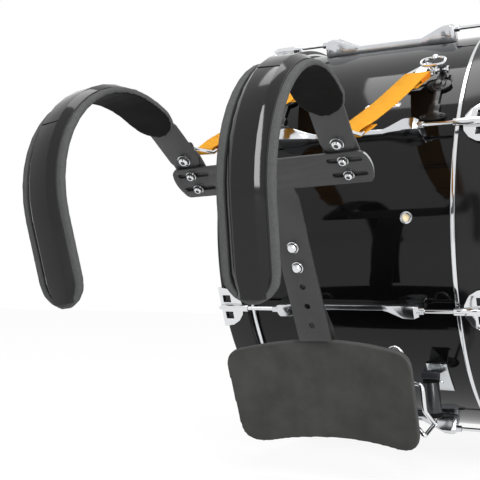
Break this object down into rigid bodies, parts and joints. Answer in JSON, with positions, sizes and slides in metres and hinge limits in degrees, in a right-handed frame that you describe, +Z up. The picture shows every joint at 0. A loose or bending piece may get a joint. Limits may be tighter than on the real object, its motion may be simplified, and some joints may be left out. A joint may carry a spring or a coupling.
{
  "type": "marching bass drum with shoulder carrier",
  "caption": "Black marching bass drum hung on a shoulder carrier with padded arms, a chest plate, a belly pad, webbing straps and sleeved lower hooks.",
  "frame": {"origin": "half way between the wearer's shoulders, under the tops of the two arms", "axes": "+X along the drum to the right as the wearer faces it, +Y from the wearer to the drum, +Z up"},
  "size_m": [0.4292, 1.1978, 0.682],
  "materials": {
    "lacquer": "deep gloss black lacquer over the wooden shell",
    "hoop": "gloss black lacquer",
    "film": "smooth black drum film",
    "chrome": "polished",
    "zinc": "bright zinc, slightly dull",
    "black": "satin black powder coat",
    "gloss": "gloss black moulding",
    "foam": "dark grey closed foam, matt",
    "pad": "dark grey closed foam, matt",
    "orange": "flat woven webbing",
    "rubber": "dark rubber sleeve"
  },
  "bodies": {
    "drum": {"batter_head_left": "film", "batter_head_right": "film", "belly_bar": "black", "belly_pad": "pad", "belly_plate": "black", "chest_plate": "black", "claw_left_1": "chrome", "claw_left_2": "chrome", "claw_left_3": "chrome", "claw_left_4": "chrome", "claw_left_5": "chrome", "claw_left_6": "chrome", "claw_left_7": "chrome", "claw_left_8": "chrome", "claw_right_1": "chrome", "claw_right_2": "chrome", "claw_right_3": "chrome", "claw_right_4": "chrome", "claw_right_5": "chrome", "claw_right_6": "chrome", "claw_right_7": "chrome", "claw_right_8": "chrome", "counterhoop_left": "hoop", "counterhoop_right": "hoop", "drum_shell": "lacquer", "flesh_hoop_left": "chrome", "flesh_hoop_right": "chrome", "hook_rod_left": "chrome", "hook_rod_right": "chrome", "hook_seat_left": "zinc", "hook_seat_right": "zinc", "hook_sleeve_left": "rubber", "hook_sleeve_right": "rubber", "lug_1": "chrome", "lug_2": "chrome", "lug_3": "chrome", "lug_4": "chrome", "lug_5": "chrome", "lug_6": "chrome", "lug_7": "chrome", "lug_8": "chrome", "strap_anchor_left": "black", "strap_anchor_right": "black", "strap_hook_left": "chrome", "strap_hook_right": "chrome", "vent_grommet": "chrome"},
    "bracket_left": {"shoulder_bracket_left": "black"},
    "arm_left": {"arm_strap_left": "black", "arm_foam_left": "foam", "arm_cover_left": "gloss"},
    "webbing_left": {"strap_frame_left": "chrome", "webbing_left": "orange", "strap_link_left": "chrome"},
    "bracket_right": {"shoulder_bracket_right": "black"},
    "arm_right": {"arm_strap_right": "black", "arm_foam_right": "foam", "arm_cover_right": "gloss"},
    "webbing_right": {"strap_frame_right": "chrome", "webbing_right": "orange", "strap_link_right": "chrome"}
  },
  "joints": [
    {"name": "bracket_slide_left", "type": "slide", "parent": "drum", "child": "bracket_left", "axis": [0.9994, 0, 0.0339], "range_m": [-0.0145, 0.0205]},
    {"name": "arm_swing_left", "type": "hinge", "parent": "bracket_left", "child": "arm_left", "pos_m": [-0.11067, 0.12518, -0.05987], "axis": [0.0261, -0.6361, -0.7712], "range_deg": [-14, 25]},
    {"name": "strap_swing_left", "type": "hinge", "parent": "drum", "child": "webbing_left", "pos_m": [-0.104, 0.468, 0.116], "axis": [0, -0.436, 0.8999], "range_deg": [-2.4, 3.4]},
    {"name": "bracket_slide_right", "type": "slide", "parent": "drum", "child": "bracket_right", "axis": [0.9994, 0, 0.0339], "range_m": [-0.0175, 0.0205]},
    {"name": "arm_swing_right", "type": "hinge", "parent": "bracket_right", "child": "arm_right", "pos_m": [0.10221, 0.12518, -0.05266], "axis": [0.0261, -0.6361, -0.7712], "range_deg": [-25, 14]},
    {"name": "strap_swing_right", "type": "hinge", "parent": "drum", "child": "webbing_right", "pos_m": [0.104, 0.468, 0.116], "axis": [0, -0.4199, 0.9076], "range_deg": [-2.9, 3.4]}
  ],
  "couplings": [
    {"joint": "strap_swing_left", "follows": "bracket_slide_left", "rad_per_m": 2.7344},
    {"joint": "strap_swing_right", "follows": "bracket_slide_right", "rad_per_m": 2.7571}
  ]
}
